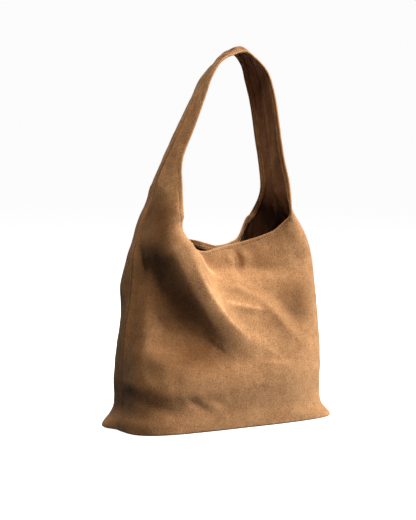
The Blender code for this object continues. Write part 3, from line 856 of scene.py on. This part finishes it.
def lathe(name, x, z, profile, material):
    """A round piece about an axis along Y through (x, z), from (radius, y) points."""
    angles = 2 * math.pi * np.arange(LATHE_STEPS) / LATHE_STEPS
    verts = [(x + radius * math.cos(a), y, z + radius * math.sin(a))
             for radius, y in profile for a in angles]
    return add_mesh(name, verts, closed(len(profile), LATHE_STEPS), material)


# ===== shares of the bag and of the strap or the mouth at each point
def strap_share(points):
    """From the bag (0) to the strap (1), across the fold."""
    return smooth(CUT_HEIGHT + 0.012, 2 * FOLD_HEIGHT - CUT_HEIGHT - 0.012, points[:, 2])


def mouth_share(points):
    """From the bag (0) to the front of the mouth (1), across its hinge and in from its two ends."""
    up = smooth(HINGE_HEIGHT - 0.045, HINGE_HEIGHT + 0.045, points[:, 2])
    return up * (1 - smooth(0.055, 0.098, np.abs(points[:, 0] - 0.005)))


def set_share(item, share_of):
    """Works out the shares of the second body that share_of gives for the points; nothing stores them."""
    flat = np.zeros(len(item.data.vertices) * 3)
    item.data.vertices.foreach_get("co", flat)
    share = share_of(flat.reshape(-1, 3)).astype(np.float32)


def follow_strap(item):
    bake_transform(item)
    set_share(item, strap_share)


def follow_mouth(item):
    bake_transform(item)
    set_share(item, mouth_share)


# ===== materials
def new_material(name):
    material = bpy.data.materials.new(name)
    material.use_nodes = True
    return material, material.node_tree, material.node_tree.nodes["Principled BSDF"]


def add_node(tree, kind, inputs, **settings):
    """A node whose inputs are set to values, or linked where the value is another node's output."""
    node = tree.nodes.new("ShaderNode" + kind)
    for key, value in settings.items():
        setattr(node, key, value)
    for key, value in inputs.items():
        if isinstance(value, bpy.types.NodeSocket):
            tree.links.new(value, node.inputs[key])
        else:
            node.inputs[key].default_value = value
    return node


# How strongly wear and painted light and shade lighten or darken red, green and blue: the painted shades
# come out redder.
WEAR_AND_LIGHT_STRENGTH = (0.82, 0.92, 1.04)


def suede(name, dark, light, speckle=0.5):
    """Napped leather or cloth: speckles at several scales, lighter or darker by the attribute of wear and
    painted light and shade.
    """
    material, tree, shader = new_material(name)
    place = add_node(tree, "Attribute", {}, attribute_name="rest_position").outputs["Vector"]

    def grain_at(scale, detail, roughness=0.55, source=place):
        inputs = {"Scale": scale, "Detail": detail, "Roughness": roughness, "Vector": source}
        return add_node(tree, "TexNoise", inputs).outputs["Fac"]

    def spread(value, low, high):
        inputs = {"Value": value, "From Min": 0.3, "From Max": 0.7, "To Min": low, "To Max": high}
        return add_node(tree, "MapRange", inputs).outputs["Result"]

    def maths(operation, a, b):
        return add_node(tree, "Math", {0: a, 1: b}, operation=operation).outputs[0]

    def vector_maths(operation, *inputs):
        node = add_node(tree, "VectorMath", dict(enumerate(inputs)), operation=operation)
        return node.outputs["Vector"]

    cloud = grain_at(11, 3)
    blotch = grain_at(70, 4)
    nap = grain_at(520, 3, 0.7)
    grain = grain_at(1500, 2, 0.6)
    drawn_out = add_node(tree, "Mapping", {"Vector": place, "Scale": (300, 300, 120)}).outputs["Vector"]
    brushed_nap_and_painted_light = grain_at(1, 3, 0.6, drawn_out)
    tone = 0.5
    for value, reach in ((cloud, 0.14), (blotch, 0.13), (nap, 0.8 * speckle), (grain, 0.35 * speckle),
                         (brushed_nap_and_painted_light, 0.07)):
        tone = maths("ADD", spread(value, -reach, reach), tone)
    mix = add_node(tree, "Mix", {"Factor": tone}, data_type="RGBA", clamp_factor=True)
    first, second = [socket for socket in mix.inputs if socket.type == "RGBA"]
    first.default_value, second.default_value = (*dark, 1), (*light, 1)
    colour = [socket for socket in mix.outputs if socket.type == "RGBA"][0]
    wear_and_painted_light = add_node(tree, "Attribute", {}, attribute_name="wear_and_painted_light").outputs["Fac"]
    strength = vector_maths("MULTIPLY_ADD", wear_and_painted_light, WEAR_AND_LIGHT_STRENGTH, (1, 1, 1))
    strength = vector_maths("MAXIMUM", strength, (0.12, 0.12, 0.12))
    tree.links.new(vector_maths("MULTIPLY", colour, strength), shader.inputs["Base Color"])
    tree.links.new(spread(nap, 0.86, 0.99), shader.inputs["Roughness"])
    shader.inputs["Specular IOR Level"].default_value = 0.12
    shader.inputs["Sheen Weight"].default_value = 0.22
    shader.inputs["Sheen Roughness"].default_value = 0.5
    shader.inputs["Sheen Tint"].default_value = (1.0, 0.78, 0.56, 1)
    height = maths("ADD", maths("MULTIPLY", nap, 0.5), maths("MULTIPLY", grain, 0.25))
    height = maths("ADD", height, maths("MULTIPLY", blotch, 0.9))
    bump = add_node(tree, "Bump", {"Strength": 0.55, "Distance": 0.0012, "Height": height})
    tree.links.new(bump.outputs["Normal"], shader.inputs["Normal"])
    return material


def plain(name, dark, light, scale, roughness, metallic=0.0, stretch=(1, 1, 1), bump=0.0002):
    """A hard material whose tone, roughness and relief follow one object-space noise."""
    material, tree, shader = new_material(name)
    place = add_node(tree, "TexCoord", {}).outputs["Object"]
    place = add_node(tree, "Mapping", {"Vector": place, "Scale": stretch}).outputs["Vector"]
    texture = add_node(tree, "TexNoise", {"Vector": place, "Scale": scale, "Detail": 5})
    noise_value = texture.outputs["Fac"]
    ramp = add_node(tree, "ValToRGB", {"Fac": noise_value})
    for stop, position, colour in zip(ramp.color_ramp.elements, (0.32, 0.68), (dark, light)):
        stop.position = position
        stop.color = (*colour, 1)
    limits = {"Value": noise_value, "To Min": roughness[0], "To Max": roughness[1]}
    spread = add_node(tree, "MapRange", limits)
    relief = add_node(tree, "Bump", {"Strength": 0.5, "Distance": bump, "Height": noise_value})
    tree.links.new(ramp.outputs["Color"], shader.inputs["Base Color"])
    tree.links.new(spread.outputs["Result"], shader.inputs["Roughness"])
    tree.links.new(relief.outputs["Normal"], shader.inputs["Normal"])
    shader.inputs["Metallic"].default_value = metallic
    return material


SUEDE = suede("suede", (0.240, 0.102, 0.038), (0.58, 0.325, 0.155))
# The facing is the same suede, made darker as painted shade for the shaded insides of the horns and
# strap.
FACING_PAINTED_SHADE = suede("facing_suede_painted_shade", (0.18, 0.083, 0.036), (0.46, 0.247, 0.120))
# The lining is made much darker than the suede: painted shade for the inside of the bag.
LINING_PAINTED_SHADE = suede("lining_cloth_painted_shade", (0.055, 0.035, 0.022), (0.11, 0.07, 0.045), speckle=0.3)
TAPE = suede("tape_cloth", (0.60, 0.56, 0.50), (0.78, 0.74, 0.68), speckle=0.2)
THREAD = suede("thread", (0.55, 0.36, 0.20), (0.92, 0.70, 0.46), speckle=0.2)
METAL = plain("antique_metal", (0.34, 0.29, 0.22), (0.66, 0.60, 0.50), 900, (0.24, 0.46), 1.0, (1, 6, 1),
              0.00003)
BOARD = plain("pressed_board", (0.16, 0.12, 0.08), (0.34, 0.27, 0.19), 260, (0.80, 0.95), 0.0, (1, 1, 3))


# ===== leather, facing, lining
# The thin sheets: distances from the free edge, depths under the surface, and material.
SHEETS = {
    "facing": (np.concatenate([[0.0015, 0.004], np.linspace(0.007, 0.050, 16)]), FACING_DEPTHS, FACING_PAINTED_SHADE),
    "tape": (np.array([0.0025, 0.006, 0.0095]), TAPE_DEPTHS, TAPE),
    "lining": (np.linspace(0.046, 0.40, 60), LINING_DEPTHS, LINING_PAINTED_SHADE),
}
# The CAD nodes that each piece stands for.
REPLACED = {
    "front": {"leather": ["front_panel", "front_mouth_panel"],
              "facing": ["front_facing_left", "front_facing_right", "front_mouth_facing"],
              "lining": ["front_lining", "front_mouth_lining"], "tape": ["front_rim_tape"]},
    "back": {"leather": ["back_panel"], "facing": ["back_facing"], "lining": ["back_lining"],
             "tape": ["back_rim_tape"]},
    "strap_front": {"leather": ["strap_front"], "facing": ["strap_facing_front"], "tape": ["strap_tape"]},
    "strap_back": {"leather": ["strap_back"], "facing": ["strap_facing_back"], "tape": ["strap_tape"]},
}


def build_sheet(skin, start, lines, layer):
    """A thin sheet through every other one of a face's lines."""
    distances, depths, material = SHEETS[layer]
    every_other = lines[:-1:2] + lines[-1:]
    profile, wear_and_painted_light = sheet_profile(skin, every_other, distances, depths)
    return loft(f"{start}_{layer}", profile, material, skin.face, wear_and_painted_light, capped=layer != "facing")


def build_layers(skin, start, lines):
    """The leather, facing, tape and threads on some of a face's lines, as (layer, mesh)."""
    profile, wear_and_painted_light = hem_profile(skin, lines)
    yield "leather", loft(f"{start}_leather", profile, SUEDE, skin.face, wear_and_painted_light, capped=False)
    for layer in ("facing", "tape"):
        yield layer, build_sheet(skin, start, lines, layer)
    points, normals = [found[:, 0] for found in line_at(skin, lines, np.array([STITCH_INSET]))]
    yield "outer_stitches", stitches(f"{start}_outer_stitches", points, normals)
    points = points - normals * HEM_DEPTHS[1]
    yield "inner_stitches", stitches(f"{start}_inner_stitches", points, -normals)


def attach(item, start, layer):
    """Parents a piece of the bag to it, bakes the transform of a strap or front piece, and hides the CAD
    nodes that it replaces.
    """
    if start.startswith("strap"):
        follow_strap(item)
    elif start == "front":
        follow_mouth(item)
    else:
        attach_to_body(item, "bag")
    if layer in REPLACED[start]:
        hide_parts(*REPLACED[start][layer])


# Each face is cut in two at the tops of the horns: its body, and its half of the strap.
for face, word in ((-1, "front"), (1, "back")):
    skin = Skin(face)
    first, last = skin.marks[0], skin.marks[2]
    body = list(range(first, last))
    strap = list(range(last - 1, len(skin.points))) + list(range(first + 1))
    for start, lines in ((word, body), (f"strap_{word}", strap)):
        for layer, item in build_layers(skin, start, lines):
            attach(item, start, layer)
    attach(build_sheet(skin, word, body, "lining"), word, "lining")


# ===== base
OUTLINE_STEPS = 60
# The leather base's rounded edge, as (inset, height).
BASE_EDGE = [(0.004, 0.0), (0.0012, 0.0003), (0.0006, 0.0009), (0.0016, 0.0014)]
SHRINKS = (0.93, 0.85, 0.75, 0.64, 0.52, 0.39, 0.25, 0.10)


def base_outline(inset):
    """The base's outline at the floor, that far inside the leather's lowest edge."""
    share = np.linspace(0, 1, OUTLINE_STEPS + 1)
    height = np.full(len(share), FOOT_HEIGHT)
    points = []
    for face, side in ((-1, -1), (-1, 1), (1, 1), (1, -1)):
        way = share if face == side else share[::-1]
        points.append(wall_points(face, side, height, way)[:-1, :2])
    outline = np.concatenate(points)
    return outline - unit(outline / BASE_HALF_SIZE ** 2) * inset


def slab(name, layers, material, rumple=0.0):
    """A flat piece through outlines (outline, height); rumple lifts the inner part of its top."""
    (first, first_height), (last, last_height) = layers[0], layers[-1]
    layers = [(first * shrink, first_height) for shrink in SHRINKS[::-1]] + layers
    layers += [(last * shrink, last_height) for shrink in SHRINKS]
    rings = [np.column_stack([outline, np.full(len(outline), height)]) for outline, height in layers]
    for ring, shrink in zip(rings[-len(SHRINKS):], SHRINKS):
        ring[:, 2] += rumple * (1 + noise_at(ring, 0.030, 31)) * smooth(0, 0.15, 1 - shrink)
    return add_mesh(name, np.concatenate(rings), closed(len(rings), len(first)), material)


base_layers = [(base_outline(inset), height) for inset, height in BASE_EDGE]
base_leather = slab("base_leather", base_layers, SUEDE)
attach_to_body(base_leather, "bag")
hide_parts("base_panel")

low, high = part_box("base_lining")
cloth = base_outline(0.0) * np.array(high.xy) / BASE_HALF_SIZE
cloth_layers = [(cloth, low.z), (cloth * 1.002, (low.z + high.z) / 2), (cloth, high.z)]
base_cloth = slab("base_cloth", cloth_layers, LINING_PAINTED_SHADE, 0.0006)
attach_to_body(base_cloth, "bag")
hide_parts("base_lining")
for spot in frame["nodes"]["base_board"].material_slots:
    spot.material = BOARD


# ===== magnetic snap
def round_piece(node, body, outline):
    """A lathed piece in place of a round CAD node: outline is in percent of its radius and thickness."""
    low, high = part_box(node)
    radius = (high.x - low.x) / 2
    profile = [(radius * out / 100, low.y + (high.y - low.y) * deep / 100) for out, deep in outline]
    item = lathe(f"{node}_metal", (low.x + high.x) / 2, (low.z + high.z) / 2, profile, METAL)
    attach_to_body(item, body)
    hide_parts(node)


STUD = [(2, 0), (90, 0), (98, 5), (100, 14), (100, 42), (97, 52), (88, 58), (78, 56), (74, 50), (50, 50),
        (45, 54), (42, 62), (42, 88), (39, 96), (32, 100), (2, 100)]
SOCKET = [(2, 60), (43, 60), (46, 55), (46, 12), (50, 3), (56, 0), (84, 0), (94, 4), (100, 14), (100, 84),
          (97, 95), (90, 100), (2, 100)]
WASHER = [(30, 0), (94, 0), (100, 25), (100, 75), (94, 100), (30, 100)]
round_piece("snap_stud", "mouth_front", STUD)
round_piece("snap_stud_washer", "mouth_front", WASHER)
round_piece("snap_socket", "bag", SOCKET)
round_piece("snap_socket_washer", "bag", WASHER)


# ===== floor, lights and camera
CAMERA_AZIMUTH = math.radians(-30)
CAMERA_DISTANCE = 2.2
CAMERA_HEIGHT = 0.4238
CAMERA_TARGET = Vector((-0.0178, 0, 0.2552))
CAMERA_LENS = 96.8
FLOOR_REACH = 30.0
FLOOR_HEIGHT = -0.0006
WHITE = 0.97


def make_stage():
    material, _, shader = new_material("floor")
    shader.inputs["Base Color"].default_value = (0.80, 0.80, 0.80, 1)
    shader.inputs["Roughness"].default_value = 0.9
    shader.inputs["Emission Color"].default_value = (1, 1, 1, 1)
    shader.inputs["Emission Strength"].default_value = WHITE
    corners = ((-1, -1), (1, -1), (1, 1), (-1, 1))
    verts = [(x * FLOOR_REACH, y * FLOOR_REACH, FLOOR_HEIGHT) for x, y in corners]
    floor = add_mesh("floor", verts, [(0, 1, 2, 3)], material)
    floor.visible_diffuse = False


def add_light(name, place, aim_height, size, power, colour):
    """A square light that shines at that height on the bag's axis."""
    data = bpy.data.lights.new(name, "AREA")
    data.size = size
    data.energy = power
    data.color = colour
    item = new_object(name, data)
    item.location = place
    direction = Vector((0, 0, aim_height)) - Vector(place)
    item.rotation_euler = direction.to_track_quat("-Z", "Y").to_euler()


def make_lights():
    add_light("key", (1.75, -1.05, 1.35), 0.26, 0.8, 92, (1.0, 0.98, 0.95))
    add_light("top", (-0.35, -0.9, 2.3), 0.3, 0.9, 36, (1.0, 0.89, 0.76))
    add_light("fill", (-1.6, -1.9, 0.9), 0.25, 1.6, 1, (1.0, 0.80, 0.62))
    add_light("back", (1.0, 2.1, 1.2), 0.25, 1.4, 34, (1.0, 0.96, 0.92))
    world = bpy.context.scene.world or bpy.data.worlds.new("world")
    bpy.context.scene.world = world
    world.use_nodes = True
    background = world.node_tree.nodes["Background"]
    background.inputs["Color"].default_value = (1, 1, 1, 1)
    background.inputs["Strength"].default_value = WHITE
    world.cycles_visibility.diffuse = False
    world.cycles_visibility.glossy = False


def make_camera():
    data = bpy.data.cameras.new("camera")
    data.lens = CAMERA_LENS
    data.sensor_width = 36
    camera = new_object("camera", data)
    camera.location = (math.sin(CAMERA_AZIMUTH) * CAMERA_DISTANCE,
                       -math.cos(CAMERA_AZIMUTH) * CAMERA_DISTANCE, CAMERA_HEIGHT)
    camera.rotation_euler = (CAMERA_TARGET - camera.location).to_track_quat("-Z", "Y").to_euler()
    bpy.context.scene.camera = camera


bpy.context.scene.view_settings.view_transform = "Standard"
make_stage()
make_lights()
make_camera()
